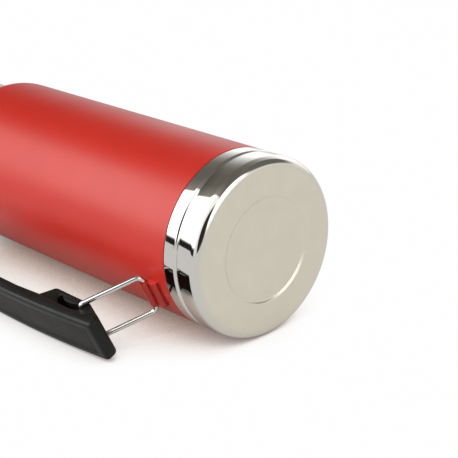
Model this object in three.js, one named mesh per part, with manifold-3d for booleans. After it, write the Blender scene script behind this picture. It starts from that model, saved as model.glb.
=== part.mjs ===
// A 1.8 litre double-walled steel vacuum flask with a cup lid, a push-button pouring stopper
// and a side handle that folds flat on two wire links. Millimetres, +Z up.
// The origin is on the flask's axis, in the plane that it stands on. The handle is on the +X side.

import * as THREE from 'three';
import { mergeVertices } from 'three/addons/utils/BufferGeometryUtils.js';
import Module from 'manifold-3d';

const wasm = await Module();
wasm.setup();

// ---------------------------------------------------------------- driving dimensions

const FACETS = 36; // sides of every round piece
const GAP = 0.3; // left between pieces that touch on the real flask
const SHEET = 0.8; // steel sheet of the shells

// Outer shell
const BODY_RADIUS = 55;
const BODY_TOP = 250; // where the straight wall ends and the shoulder begins
const SHOULDER_HEIGHT = 20;
const SHOULDER_TOP_RADIUS = 39;
const NECK_RADIUS = 36;
const MOUTH_TOP = 290;
const SKIRT_RADIUS = 51.4; // the narrower foot of the shell, inside the base cup

// Base cup
const BASE_HEIGHT = 27.2;
const BASE_WALL = 1;
const GROOVE_Z = 17.4;
const GROOVE_HALF_HEIGHT = 1.6;
const GROOVE_DEPTH = 1.1;
const FOOT_RADIUS = 49.3; // outer radius of the flat ring that the flask stands on
const HEEL_RADIUS = BODY_RADIUS - FOOT_RADIUS; // rounding between the wall and that ring
const RECESS_RADIUS = 31.2;
const RECESS_DEPTH = 0.9;
const RECESS_STEP = 1.6;

// Inner flask
const LINER_RADIUS = 49;
const LINER_FLOOR = 13;
const LINER_CORNER = 11;
const LINER_SHOULDER = 236;
const LINER_NECK_BOTTOM = 252;
const MOUTH_RADIUS = 29.2; // inside the neck

// Cup lid
const CUP_RADIUS = 47.5;
const CUP_BOTTOM = 272.8;
const CUP_TOP = 335;
const CUP_CORNER = 5;
const CUP_LINER_WALL = 3;

// Stopper
const PLUG_RADIUS = 28.2;
const PLUG_BOTTOM = 266;
const FLANGE_RADIUS = 34;
const FLANGE_BOTTOM = 292;
const FLANGE_TOP = 295.2;
const STOPPER_TOP = 305.6;
const CAP_RADIUS = 31;
const BUTTON_RADIUS = 11.9;
const BUTTON_TOP = 308;
const BUTTON_BORE = 13.7;
const SPRING_SEAT = 284;
const STEM_RADIUS = 3;
const VALVE_RADIUS = 21.5;

// Handle and its links
const PIN_X = 57.6; // hinge pin of a wire link in its lug
const PIN_Z = 44.7;
const LINK_LENGTH = 39; // from the hinge pin to the sliding pin
const LINK_HALF_WIDTH = 13.75;
const LINK_TILT = THREE.MathUtils.degToRad(29.2);
const WIRE_RADIUS = 1.6;
const FOLD_TRAVEL = 31; // how far the handle moves in towards the body
const FOLD_TURN = THREE.MathUtils.degToRad(56.4); // how far the links turn meanwhile
const HANDLE_MIDDLE = 140; // height about which the handle, links and lugs are mirrored
const HANDLE_HALF_LENGTH = 97.65;
const HANDLE_HALF_WIDTH = 14.85;
const HANDLE_CROWN_X = 106.2;
const HANDLE_ARCH = 4.6;
const HANDLE_EDGE = 2.4; // rounding along the bar's edges
const BAR_INNER_X = 96.1; // the bar's inner side where the ears stand on it
const BAR_WAIST_X = 97.4; // its inner side between the ears
const SLOT_CLEARANCE = 0.4; // round the sliding pin
const EAR_FACE_X = 86.7;
const EAR_HALF_WIDTH = 11.8;
const PANEL_HALF_WIDTH = 9.9;
const PANEL_END_MARGIN = 6.5;
const LUG_HALF_WIDTH = 9.25;
const LUG_BARREL_RADIUS = 2.75;

// ---------------------------------------------------------------- materials

const standard = (color, roughness, metalness) =>
  new THREE.MeshStandardMaterial({ color, roughness, metalness });

const redCoat = standard(0xc8262a, 0.42, 0.0);
const mirrorSteel = standard(0xd8d6d2, 0.06, 1.0);
const satinSteel = standard(0xbfbcb6, 0.34, 1.0);
const brightWire = standard(0xdad9d6, 0.08, 1.0);
const blackPlastic = standard(0x1e1f1c, 0.5, 0.0);
const panelPlastic = standard(0x3a3732, 0.6, 0.0);
const greyPlastic = standard(0x4b4b49, 0.55, 0.0);
const silicone = standard(0xd6d2c8, 0.7, 0.0);
const foil = standard(0xb8724a, 0.25, 1.0);
const solder = standard(0x8d8c88, 0.4, 1.0);

// ---------------------------------------------------------------- geometry helpers

// Twice the signed area of a profile, positive where it runs counter-clockwise in (radius, height).
const turn = (profile) =>
  profile.reduce((sum, [r, z], i) => {
    const [nextR, nextZ] = profile[(i + 1) % profile.length];
    return sum + r * nextZ - nextR * z;
  }, 0);

// A solid of revolution about Z. The profile starts and ends on the axis, or else it is a closed loop.
function revolve(profile, facets = FACETS) {
  const ordered = turn(profile) > 0 ? profile : [...profile].reverse();
  const onAxis = ordered.some(([r]) => r === 0);
  const points = ordered.map(([r, z]) => new THREE.Vector2(r, z));
  if (onAxis) {
    const last = points.findIndex((p, i) => p.x === 0 && points.at(i - 1).x === 0);
    points.unshift(...points.splice(last));
  } else {
    points.push(points[0].clone());
  }
  return new THREE.LatheGeometry(points, facets).rotateX(Math.PI / 2);
}

// Points on a quarter of an ellipse, from (radius + a, height) to (radius, height + b).
function quarter(radius, height, a, b, steps) {
  const points = [];
  for (let i = 0; i <= steps; i += 1) {
    const angle = (i / steps) * (Math.PI / 2);
    points.push([radius + a * Math.cos(angle), height + b * Math.sin(angle)]);
  }
  return points;
}

// A flat outline in (x, z), extruded along Y to both sides of the middle plane.
function extrudeAcross(outline, halfWidth, bevel = 0) {
  const shape = new THREE.Shape(outline.map(([x, z]) => new THREE.Vector2(x, z)));
  const settings = {
    depth: 2 * (halfWidth - bevel),
    bevelEnabled: bevel > 0,
    bevelThickness: bevel,
    bevelSize: bevel,
    bevelOffset: -bevel,
    bevelSegments: 3,
  };
  const geometry = new THREE.ExtrudeGeometry(shape, settings);
  return geometry.translate(0, 0, bevel - halfWidth).rotateX(Math.PI / 2);
}

function solidOf(geometry) {
  const bare = geometry.clone();
  bare.deleteAttribute('normal');
  bare.deleteAttribute('uv');
  const merged = mergeVertices(bare, 1e-4);
  const vertProperties = new Float32Array(merged.attributes.position.array);
  const triVerts = new Uint32Array(merged.index.array);
  return new wasm.Manifold(new wasm.Mesh({ numProp: 3, vertProperties, triVerts }));
}

function geometryOf(solid) {
  const mesh = solid.getMesh();
  const geometry = new THREE.BufferGeometry();
  geometry.setAttribute('position', new THREE.BufferAttribute(mesh.vertProperties, 3));
  geometry.setIndex(new THREE.BufferAttribute(mesh.triVerts, 1));
  geometry.computeVertexNormals();
  return geometry;
}

function box(lowX, highX, lowY, highY, lowZ, highZ) {
  const geometry = new THREE.BoxGeometry(highX - lowX, highY - lowY, highZ - lowZ);
  return geometry.translate((lowX + highX) / 2, (lowY + highY) / 2, (lowZ + highZ) / 2);
}

// A path through listed points, each used once, so that a straight run of wire is one segment.
class WirePath extends THREE.Curve {
  constructor(points) {
    super();
    this.points = points;
  }
  index(t) {
    return Math.round(t * (this.points.length - 1));
  }
  getPointAt(t) {
    return this.points[this.index(t)].clone();
  }
  getTangentAt(t) {
    const i = this.index(t);
    const before = this.points[Math.max(i - 1, 0)];
    const after = this.points[Math.min(i + 1, this.points.length - 1)];
    const here = this.points[i];
    const into = here.clone().sub(before).normalize();
    const out = after.clone().sub(here).normalize();
    return into.add(out).normalize();
  }
}

// Round wire along the points, with the given number of sides.
function wire(points, radius, sides) {
  const section = new THREE.Shape();
  for (let i = 0; i < sides; i += 1) {
    const angle = ((i + 0.5) / sides) * 2 * Math.PI;
    const [x, y] = [radius * Math.cos(angle), radius * Math.sin(angle)];
    if (i === 0) section.moveTo(x, y);
    else section.lineTo(x, y);
  }
  section.closePath();
  const settings = { steps: points.length - 1, extrudePath: new WirePath(points) };
  return new THREE.ExtrudeGeometry(section, settings);
}

function piece(name, geometry, material) {
  const mesh = new THREE.Mesh(geometry, material);
  mesh.name = name;
  return mesh;
}

// ---------------------------------------------------------------- shells and base

function outerShell() {
  const shoulderWidth = BODY_RADIUS - SHOULDER_TOP_RADIUS;
  const outside = quarter(SHOULDER_TOP_RADIUS, BODY_TOP, shoulderWidth, SHOULDER_HEIGHT, 8);
  const inside = quarter(
    SHOULDER_TOP_RADIUS, BODY_TOP, shoulderWidth - SHEET, SHOULDER_HEIGHT - SHEET, 8);
  const neckTop = BODY_TOP + SHOULDER_HEIGHT;
  const lip = MOUTH_RADIUS + SHEET + GAP;
  const stepZ = BASE_HEIGHT + GAP + 0.1;
  return revolve([
    [SKIRT_RADIUS, 4],
    [SKIRT_RADIUS, stepZ - 1.8],
    [SKIRT_RADIUS + 1.8, stepZ],
    [BODY_RADIUS, stepZ],
    ...outside,
    [NECK_RADIUS, neckTop],
    [NECK_RADIUS, MOUTH_TOP],
    [lip, MOUTH_TOP],
    [lip, MOUTH_TOP - SHEET],
    [NECK_RADIUS - SHEET, MOUTH_TOP - SHEET],
    [NECK_RADIUS - SHEET, neckTop - SHEET],
    ...inside.reverse(),
    [BODY_RADIUS - SHEET, stepZ + SHEET],
    [SKIRT_RADIUS + 1.2, stepZ + SHEET],
    [SKIRT_RADIUS - SHEET, stepZ - 1.2],
    [SKIRT_RADIUS - SHEET, 4],
  ]);
}

// A dip in the base cup's wall, at a given offset from its outer surface.
function groove(offset) {
  const points = [];
  for (let i = 4; i >= 0; i -= 1) {
    const across = (i - 2) / 2;
    const depth = GROOVE_DEPTH * Math.cos((across * Math.PI) / 2);
    points.push([BODY_RADIUS - offset - depth, GROOVE_Z + across * GROOVE_HALF_HEIGHT]);
  }
  return points;
}

// The rounding at the foot of the base cup's wall, at a given offset from its outer surface.
function heel(offset) {
  const radius = HEEL_RADIUS - offset;
  return quarter(FOOT_RADIUS, -HEEL_RADIUS, radius, radius, 6).map(([r, z]) => [r, -z]);
}

function baseCup() {
  return revolve([
    [BODY_RADIUS - BASE_WALL, BASE_HEIGHT],
    [BODY_RADIUS, BASE_HEIGHT],
    ...groove(0),
    ...heel(0),
    [RECESS_RADIUS + RECESS_STEP, 0],
    [RECESS_RADIUS, RECESS_DEPTH],
    [0, RECESS_DEPTH],
    [0, RECESS_DEPTH + BASE_WALL],
    [RECESS_RADIUS, RECESS_DEPTH + BASE_WALL],
    [RECESS_RADIUS + RECESS_STEP, BASE_WALL],
    ...heel(BASE_WALL).reverse(),
    ...groove(BASE_WALL).reverse(),
  ]);
}

// The disc welded into the foot of the outer shell, which closes the vacuum space.
function shellBottom() {
  const edge = SKIRT_RADIUS - SHEET - GAP;
  return revolve([
    [0, 4.8],
    [edge - SHEET, 4.8],
    [edge - SHEET, 9],
    [edge, 9],
    [edge, 4],
    [0, 4],
  ]);
}

const vacuumSeal = () => revolve([[0, 2.3], [2.8, 2.6], [4, 3.7], [0, 3.7]], 16);

function getterPill() {
  const pill = revolve([[0, 5.1], [4.4, 5.1], [5, 5.7], [5, 7.6], [0, 7.6]], 20);
  return pill.translate(28, 0, 0);
}

// The pressed ring that props the inner flask off the bottom disc.
function linerSupport() {
  const low = 4.8 + GAP;
  const high = LINER_FLOOR - GAP;
  return revolve([
    [22, low],
    [22, low + SHEET],
    [17, low + SHEET],
    [14.5, high],
    [9, high],
    [9, high - SHEET],
    [13.9, high - SHEET],
    [16.4, low],
  ], 32);
}

function innerFlask() {
  const inner = LINER_RADIUS - SHEET;
  const bottomArc = (inset) => quarter(
    LINER_RADIUS - LINER_CORNER, -LINER_FLOOR - LINER_CORNER,
    LINER_CORNER - inset, LINER_CORNER - inset, 4,
  ).map(([r, z]) => [r, -z]).reverse();
  const neck = MOUTH_RADIUS + SHEET;
  const shoulder = (radius, from) => quarter(
    from, LINER_SHOULDER, radius - from, LINER_NECK_BOTTOM - LINER_SHOULDER, 6);
  return revolve([
    [0, LINER_FLOOR],
    ...bottomArc(0),
    ...shoulder(LINER_RADIUS, neck),
    [neck, MOUTH_TOP],
    [MOUTH_RADIUS, MOUTH_TOP],
    [MOUTH_RADIUS, LINER_NECK_BOTTOM - SHEET],
    ...shoulder(inner, MOUTH_RADIUS).reverse().slice(1),
    ...bottomArc(SHEET).reverse(),
    [0, LINER_FLOOR + SHEET],
  ]);
}

function radiationFoil() {
  const inner = LINER_RADIUS + 0.4;
  return revolve([[inner, 30], [inner + 0.4, 30], [inner + 0.4, 232], [inner, 232]]);
}

// The threaded ring around the neck that the cup lid screws onto.
function neckCollar() {
  const inner = NECK_RADIUS + GAP;
  const low = BODY_TOP + SHOULDER_HEIGHT + GAP;
  return revolve([
    [inner, low],
    [44, low],
    [44, low + 2],
    [41.5, low + 2],
    [41.5, 286.5],
    [40.5, 287.5],
    [inner, 287.5],
  ]);
}

// ---------------------------------------------------------------- cup lid

function cupShell() {
  const corner = (inset) => quarter(
    CUP_RADIUS - CUP_CORNER, CUP_TOP - CUP_CORNER, CUP_CORNER - inset, CUP_CORNER - inset, 4);
  return revolve([
    [CUP_RADIUS - SHEET, CUP_BOTTOM],
    [CUP_RADIUS, CUP_BOTTOM],
    ...corner(0),
    [0, CUP_TOP],
    [0, CUP_TOP - SHEET],
    ...corner(SHEET).reverse(),
  ]);
}

function cupLiner() {
  const outer = SHEET + GAP;
  const inner = outer + CUP_LINER_WALL;
  return revolve([
    [CUP_RADIUS - inner, CUP_BOTTOM],
    [CUP_RADIUS - outer, CUP_BOTTOM],
    ...quarter(
      CUP_RADIUS - CUP_CORNER, CUP_TOP - CUP_CORNER, CUP_CORNER - outer, CUP_CORNER - outer, 3),
    [0, CUP_TOP - outer],
    [0, CUP_TOP - outer - 2.5],
    [CUP_RADIUS - inner - 3, CUP_TOP - outer - 2.5],
    [CUP_RADIUS - inner, CUP_TOP - outer - 5.5],
  ]);
}

// ---------------------------------------------------------------- stopper

function stopperBody() {
  const turned = revolve([
    [18, PLUG_BOTTOM],
    [PLUG_RADIUS - 0.6, PLUG_BOTTOM],
    [PLUG_RADIUS - 0.6, PLUG_BOTTOM + 2],
    [PLUG_RADIUS - 2, PLUG_BOTTOM + 2],
    [PLUG_RADIUS - 2, PLUG_BOTTOM + 6],
    [PLUG_RADIUS, PLUG_BOTTOM + 6],
    [PLUG_RADIUS, FLANGE_BOTTOM],
    [FLANGE_RADIUS, FLANGE_BOTTOM],
    [FLANGE_RADIUS, FLANGE_TOP],
    [BUTTON_BORE + 2.1, FLANGE_TOP],
    [BUTTON_BORE + 2.1, STOPPER_TOP - 2],
    [BUTTON_BORE, STOPPER_TOP - 2],
    [BUTTON_BORE, SPRING_SEAT],
    [STEM_RADIUS + 0.4, SPRING_SEAT],
    [STEM_RADIUS + 0.4, SPRING_SEAT - 4],
    [23.5, SPRING_SEAT - 4],
    [23.5, PLUG_BOTTOM + 2.4],
    [18, PLUG_BOTTOM + 2.4],
  ]);
  const pourChannel = box(-23, -17.5, -9, 9, SPRING_SEAT - 5, FLANGE_TOP + 1);
  const airChannel = box(18, 22, -4, 4, SPRING_SEAT - 5, FLANGE_TOP + 1);
  return geometryOf(
    solidOf(turned).subtract(solidOf(pourChannel)).subtract(solidOf(airChannel)));
}

function stopperCap() {
  const inner = BUTTON_BORE + 2.4;
  const turned = revolve([
    [inner, STOPPER_TOP - 2.4],
    [CAP_RADIUS - 2.4, STOPPER_TOP - 2.4],
    [CAP_RADIUS - 2.4, FLANGE_TOP + GAP],
    [CAP_RADIUS, FLANGE_TOP + GAP],
    [CAP_RADIUS, STOPPER_TOP - 1.2],
    [CAP_RADIUS - 1.2, STOPPER_TOP],
    [inner, STOPPER_TOP],
  ]);
  const spout = box(-CAP_RADIUS - 1, -20, -9, 9, FLANGE_TOP, FLANGE_TOP + 5);
  return geometryOf(solidOf(turned).subtract(solidOf(spout)));
}

const ring = (inner, outer, low, high) =>
  revolve([[inner, low], [outer, low], [outer, high], [inner, high]]);

const plugGasket = () => ring(PLUG_RADIUS - 1.7, PLUG_RADIUS + 0.7, PLUG_BOTTOM + 2.3, PLUG_BOTTOM + 5.7);
const rimGasket = () => ring(PLUG_RADIUS + GAP, FLANGE_RADIUS - 0.6, MOUTH_TOP + GAP, FLANGE_BOTTOM - GAP);
const buttonRetainer = () => ring(
  BUTTON_RADIUS + 0.4, BUTTON_BORE + 2.1, STOPPER_TOP - 2 + GAP, STOPPER_TOP);

function pushButton() {
  return revolve([
    [0, BUTTON_TOP],
    [BUTTON_RADIUS - 1, BUTTON_TOP],
    [BUTTON_RADIUS, BUTTON_TOP - 1],
    [BUTTON_RADIUS, STOPPER_TOP - 2.3],
    [BUTTON_BORE - 0.4, STOPPER_TOP - 2.3],
    [BUTTON_BORE - 0.4, 296.5],
    [BUTTON_BORE - 1.7, 296.5],
    [BUTTON_BORE - 1.7, 301.4],
    [4.6, 301.4],
    [4.6, 295],
    [0, 295],
  ], 32);
}

function buttonSpring() {
  const turns = 5;
  const perTurn = 12;
  const [coilRadius, wireRadius] = [8.4, 0.6];
  const low = SPRING_SEAT + GAP + wireRadius;
  const high = 301.4 - GAP - wireRadius;
  const points = [];
  for (let i = 0; i <= turns * perTurn; i += 1) {
    const angle = (i / perTurn) * 2 * Math.PI;
    const height = low + ((high - low) * i) / (turns * perTurn);
    points.push(new THREE.Vector3(
      coilRadius * Math.cos(angle), coilRadius * Math.sin(angle), height));
  }
  return wire(points, wireRadius, 6);
}

const valveStem = () => revolve(
  [[0, PLUG_BOTTOM - 3.1], [STEM_RADIUS, PLUG_BOTTOM - 3.1], [STEM_RADIUS, 294.7], [0, 294.7]], 20);

function valveDisc() {
  const top = PLUG_BOTTOM - 3.4;
  return revolve([
    [0, top - 2], [VALVE_RADIUS - 1, top - 2], [VALVE_RADIUS, top - 1], [VALVE_RADIUS, top], [0, top],
  ], 32);
}

const valveSeal = () => ring(16.5, VALVE_RADIUS, PLUG_BOTTOM - 3.1, PLUG_BOTTOM - GAP);

// ---------------------------------------------------------------- handle

// X of the handle's outer face at a height.
const crown = (z) =>
  HANDLE_CROWN_X - HANDLE_ARCH * ((z - HANDLE_MIDDLE) / HANDLE_HALF_LENGTH) ** 2;

// Evenly spaced heights from one end of the handle to the other, less a margin at each end.
function heights(margin, steps) {
  const low = HANDLE_MIDDLE - HANDLE_HALF_LENGTH + margin;
  const high = HANDLE_MIDDLE + HANDLE_HALF_LENGTH - margin;
  return Array.from({ length: steps + 1 }, (_, i) => low + ((high - low) * i) / steps);
}

const mirrored = ([x, z]) => [x, 2 * HANDLE_MIDDLE - z];

// Adds the mirror image of an outline's lower half, from its top end back down.
const withMirror = (lowerHalf) => [...lowerHalf, ...lowerHalf.map(mirrored).reverse()];

// The middle line of the lower slot: the path of the link's far bar in the handle as it folds.
function slotPath(steps) {
  return Array.from({ length: steps + 1 }, (_, i) => {
    const angle = LINK_TILT + (FOLD_TURN * i) / steps;
    return new THREE.Vector2(
      PIN_X + LINK_LENGTH * Math.cos(angle) + (FOLD_TRAVEL * i) / steps,
      PIN_Z + LINK_LENGTH * Math.sin(angle));
  });
}

// Outline of the lower slot in (x, z): round ends, and sides parallel to the path.
function slotOutline() {
  const path = slotPath(8);
  const last = path.length - 1;
  const halfWidth = WIRE_RADIUS + SLOT_CLEARANCE;
  const headings = path.map((_, i) =>
    path[Math.min(i + 1, last)].clone().sub(path[Math.max(i - 1, 0)]).angle());
  const offset = (i, turned) => [
    path[i].x + halfWidth * Math.cos(headings[i] + turned),
    path[i].y + halfWidth * Math.sin(headings[i] + turned),
  ];
  const outline = path.map((_, i) => offset(i, -Math.PI / 2));
  const capSteps = 6;
  for (let i = 1; i < capSteps; i += 1) outline.push(offset(last, Math.PI * (i / capSteps - 0.5)));
  for (let i = last; i >= 0; i -= 1) outline.push(offset(i, Math.PI / 2));
  for (let i = 1; i < capSteps; i += 1) outline.push(offset(0, Math.PI * (i / capSteps + 0.5)));
  return outline;
}

function handleGrip() {
  const end = HANDLE_MIDDLE - HANDLE_HALF_LENGTH;
  const innerSide = withMirror([
    [crown(end) - 1.5, end],
    [94.8, end],
    [93.6, end + 1.2],
    [91, 50],
    [BAR_INNER_X, 57.5],
    [BAR_INNER_X, 98],
    [BAR_WAIST_X, 120],
  ]);
  const outerSide = heights(1.5, 10).reverse().map((z) => [crown(z), z]);
  const barOutline = [...innerSide, ...outerSide].reverse();
  const ear = [
    [BAR_INNER_X + 1, 45],
    [93, 45],
    [87.2, 59.6],
    [EAR_FACE_X, 61],
    [EAR_FACE_X, 92.4],
    [87.5, 94.2],
    [BAR_INNER_X - 0.3, 101.2],
    [BAR_INNER_X + 1, 101.2],
  ];
  const tray = heights(PANEL_END_MARGIN - GAP, 10);
  const recess = [
    ...tray.map((z) => [crown(z) - 1.6, z]),
    ...[...tray].reverse().map((z) => [HANDLE_CROWN_X + 2, z]),
  ].reverse();
  const across = (outline, halfWidth) =>
    solidOf(extrudeAcross(turn(outline) > 0 ? outline : outline.reverse(), halfWidth));
  let grip = solidOf(extrudeAcross(barOutline, HANDLE_HALF_WIDTH, HANDLE_EDGE));
  for (const place of [(p) => p, mirrored]) {
    grip = grip.add(across(ear.map(place), EAR_HALF_WIDTH));
    grip = grip.subtract(across(slotOutline().map(place), 20));
  }
  return geometryOf(grip.subtract(across(recess, PANEL_HALF_WIDTH + GAP)));
}

// The thin matt strip let into the outer face.
function handlePanel() {
  const rows = heights(PANEL_END_MARGIN, 10);
  const outline = [
    ...rows.map((z) => [crown(z) - 1.3, z]),
    ...[...rows].reverse().map((z) => [crown(z) - 0.35, z]),
  ].reverse();
  return extrudeAcross(outline, PANEL_HALF_WIDTH);
}

// A lug is a strip rolled round the link's hinge pin and welded flat to the shell.
function lug() {
  const outline = [
    [53, 35.8],
    [56.3, 35.8],
    [57.3, 37.2],
    [57.7, 39.2],
    [57.3, 41.1],
    [56.7, 42.3],
  ];
  const steps = 14;
  for (let i = 0; i <= steps; i += 1) {
    const angle = -1.4 + (i / steps) * 4.2;
    outline.push([
      PIN_X + LUG_BARREL_RADIUS * Math.cos(angle),
      PIN_Z + LUG_BARREL_RADIUS * Math.sin(angle),
    ]);
  }
  outline.push([53, 45]);
  const strip = solidOf(extrudeAcross(outline, LUG_HALF_WIDTH));
  const eye = new THREE.CylinderGeometry(WIRE_RADIUS + GAP, WIRE_RADIUS + GAP, 40, 16)
    .translate(PIN_X, 0, PIN_Z);
  const clearance = revolve([
    [0, 20], [BODY_RADIUS + GAP, 20], [BODY_RADIUS + GAP, 60], [0, 60],
  ], 2 * FACETS);
  return geometryOf(strip.subtract(solidOf(eye)).subtract(solidOf(clearance)));
}

// A closed rectangle of wire, its two ends meeting inside the lug.
function link() {
  const along = new THREE.Vector3(Math.cos(LINK_TILT), 0, Math.sin(LINK_TILT));
  const at = (u, y) => new THREE.Vector3(PIN_X, y, PIN_Z).addScaledVector(along, u);
  const halfJoint = 0.15;
  const half = [at(0, halfJoint)];
  const corners = [
    { u: 0, radius: 4, away: 1 },
    { u: LINK_LENGTH, radius: 2.5, away: -1 },
  ];
  for (const { u, radius, away } of corners) {
    const bend = [];
    for (let i = 0; i <= 4; i += 1) {
      const angle = (i / 4) * (Math.PI / 2);
      const middle = u + away * radius;
      bend.push(at(
        middle - away * radius * Math.cos(angle),
        LINK_HALF_WIDTH - radius + radius * Math.sin(angle)));
    }
    half.push(...(away > 0 ? bend : bend.reverse()));
  }
  const otherHalf = half.map((p) => new THREE.Vector3(p.x, -p.y, p.z)).reverse();
  return wire([...half, ...otherHalf], WIRE_RADIUS, 8);
}

// ---------------------------------------------------------------- the flask

const flask = new THREE.Group();

const body = new THREE.Group();
body.add(
  piece('outer_shell', outerShell(), redCoat),
  piece('base_cup', baseCup(), mirrorSteel),
  piece('shell_bottom', shellBottom(), satinSteel),
  piece('vacuum_seal', vacuumSeal(), solder),
  piece('getter', getterPill(), solder),
  piece('liner_support', linerSupport(), satinSteel),
  piece('radiation_foil', radiationFoil(), foil),
  piece('inner_flask', innerFlask(), satinSteel),
  piece('neck_collar', neckCollar(), blackPlastic),
);

const stopper = new THREE.Group();
stopper.add(
  piece('stopper_body', stopperBody(), greyPlastic),
  piece('stopper_cap', stopperCap(), blackPlastic),
  piece('plug_gasket', plugGasket(), silicone),
  piece('rim_gasket', rimGasket(), silicone),
  piece('button_retainer', buttonRetainer(), blackPlastic),
  piece('button_spring', buttonSpring(), satinSteel),
  piece('push_button', pushButton(), greyPlastic),
  piece('valve_stem', valveStem(), greyPlastic),
  piece('valve_disc', valveDisc(), greyPlastic),
  piece('valve_seal', valveSeal(), silicone),
);

const cup = new THREE.Group();
cup.add(
  piece('cup_shell', cupShell(), satinSteel),
  piece('cup_liner', cupLiner(), greyPlastic),
);

const handle = new THREE.Group();
handle.add(
  piece('handle_grip', handleGrip(), blackPlastic),
  piece('handle_panel', handlePanel(), panelPlastic),
  piece('lower_lug', lug(), redCoat),
  piece('lower_link', link(), brightWire),
);

const upperFittings = new THREE.Group();
upperFittings.position.z = 2 * HANDLE_MIDDLE;
upperFittings.scale.z = -1;
upperFittings.add(
  piece('upper_lug', lug(), redCoat),
  piece('upper_link', link(), brightWire),
);

flask.add(body, stopper, cup, handle, upperFittings);

export default flask;
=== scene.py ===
"""Looks of the vacuum flask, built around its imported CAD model.

Meshes are made in millimetres, and piece() scales them to metres. The stage is in metres.
"""

import math

import bmesh
import bpy
from mathutils import Matrix, Vector


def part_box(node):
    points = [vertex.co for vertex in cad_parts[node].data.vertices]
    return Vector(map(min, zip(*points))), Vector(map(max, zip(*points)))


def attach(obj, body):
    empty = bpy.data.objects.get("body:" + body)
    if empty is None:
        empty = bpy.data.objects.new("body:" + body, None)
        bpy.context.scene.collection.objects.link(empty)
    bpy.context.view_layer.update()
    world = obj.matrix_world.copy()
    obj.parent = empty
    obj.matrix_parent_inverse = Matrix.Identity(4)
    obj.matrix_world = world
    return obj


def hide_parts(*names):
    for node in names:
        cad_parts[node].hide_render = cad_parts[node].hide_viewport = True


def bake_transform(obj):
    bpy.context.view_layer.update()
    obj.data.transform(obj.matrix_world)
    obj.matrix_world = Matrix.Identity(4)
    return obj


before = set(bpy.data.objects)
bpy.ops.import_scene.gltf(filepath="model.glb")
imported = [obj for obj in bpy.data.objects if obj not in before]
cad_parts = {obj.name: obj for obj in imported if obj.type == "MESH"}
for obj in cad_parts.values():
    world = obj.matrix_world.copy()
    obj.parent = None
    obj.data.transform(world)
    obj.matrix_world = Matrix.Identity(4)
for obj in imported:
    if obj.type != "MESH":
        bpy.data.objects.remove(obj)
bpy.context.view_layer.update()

MM = 0.001
SEGMENTS = 192  # round the flask's axis

# ---------------------------------------------------------------- dimensions shared with the CAD model

BODY_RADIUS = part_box("outer_shell")[1].x / MM
BODY_TOP = 250  # where the straight wall ends and the shoulder begins
SHOULDER = (39, 16, 20)  # centre radius, width and height of the shoulder's quarter ellipse
NECK_RADIUS = 36
NECK_TOP = 290
SHEET = 0.8  # thickness of the steel

BASE_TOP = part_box("base_cup")[1].z / MM
GROOVE_Z = 17.4
GROOVE_DEPTH = 1.1
GROOVE_HALF_HEIGHT = 1.9
FOOT_RADIUS = 49.3  # where the flat underside begins; the heel between it and the wall is an arc
HEEL_RADIUS = BODY_RADIUS - FOOT_RADIUS
POLISH_RADIUS = 53  # where the satin underside has become polished
RECESS_RADIUS = 31.2
RECESS_STEP = 1.6
RECESS_DEPTH = 0.9

CUP_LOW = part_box("cup_shell")[0].z / MM
CUP_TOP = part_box("cup_shell")[1].z / MM
CUP_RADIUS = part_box("cup_shell")[1].x / MM

HANDLE_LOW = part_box("handle_grip")[0].z / MM
HANDLE_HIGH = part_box("handle_grip")[1].z / MM
HANDLE_MIDDLE = (HANDLE_LOW + HANDLE_HIGH) / 2
HANDLE_CROWN_X = 106.2
HANDLE_ARCH = 4.6
HANDLE_HALF_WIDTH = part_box("handle_grip")[1].y / MM
EAR_HALF_WIDTH = 11.8
PANEL_HALF_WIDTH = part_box("handle_panel")[1].y / MM
PANEL_END_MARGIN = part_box("handle_panel")[0].z / MM - HANDLE_LOW
HANDLE_EDGE = 2.4  # rounding along the bar's edges
BAR_INNER_X = 96.1  # the bar's inner side where the ears stand on it
BAR_WAIST_X = 97.4  # its inner side between the ears
FOLD_TRAVEL = 31  # how far the handle moves in towards the body
FOLD_TURN = math.radians(56.4)  # how far the links turn meanwhile

PIN_X, PIN_Z = 57.6, 44.7  # middle of the lower lug's barrel, which the wire turns in
LINK_LENGTH = 39
LINK_HALF_WIDTH = 13.75  # to the middle of the wire
LINK_TILT = math.radians(29.2)  # how far the link leans up from square to the body, at rest
WIRE_RADIUS = 1.6
LUG_BARREL_RADIUS = 2.75
LUG_HALF_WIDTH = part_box("lower_lug")[1].y / MM

# ---------------------------------------------------------------- outlines


def unit(a, b):
    """Direction from a to b, and how far it is."""
    dx, dy = b[0] - a[0], b[1] - a[1]
    length = math.hypot(dx, dy)
    return (dx / length, dy / length), length


def rounded(points, radius, closed=True, support=0.15):
    """Rounds an outline's corners. A third number on a point is that corner's own radius.

    A support point close beside each rounding keeps the shading of the flats even.
    """
    out = []
    count = len(points)
    for i, point in enumerate(points):
        here = point[:2]
        own = point[2] if len(point) > 2 else radius
        if not closed and i in (0, count - 1):
            out.append(here)
            continue
        back, back_length = unit(here, points[i - 1])
        ahead, ahead_length = unit(here, points[(i + 1) % count])
        dot = max(-1.0, min(1.0, back[0] * ahead[0] + back[1] * ahead[1]))
        opening = math.acos(dot)
        turn = math.pi - opening
        if own == 0 or turn < math.radians(4):
            out.append(here)
            continue
        reach = min(own / math.tan(opening / 2), 0.46 * back_length, 0.46 * ahead_length)
        steps = max(2, round(turn / math.radians(15)))
        start = [here[k] + back[k] * reach for k in (0, 1)]
        end = [here[k] + ahead[k] * reach for k in (0, 1)]
        if back_length - reach > 3 * support:
            out.append(tuple(start[k] + back[k] * support for k in (0, 1)))
        out.extend(arc_between(start, here, end, turn, steps))
        if ahead_length - reach > 3 * support:
            out.append(tuple(end[k] + ahead[k] * support for k in (0, 1)))
    return out


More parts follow.
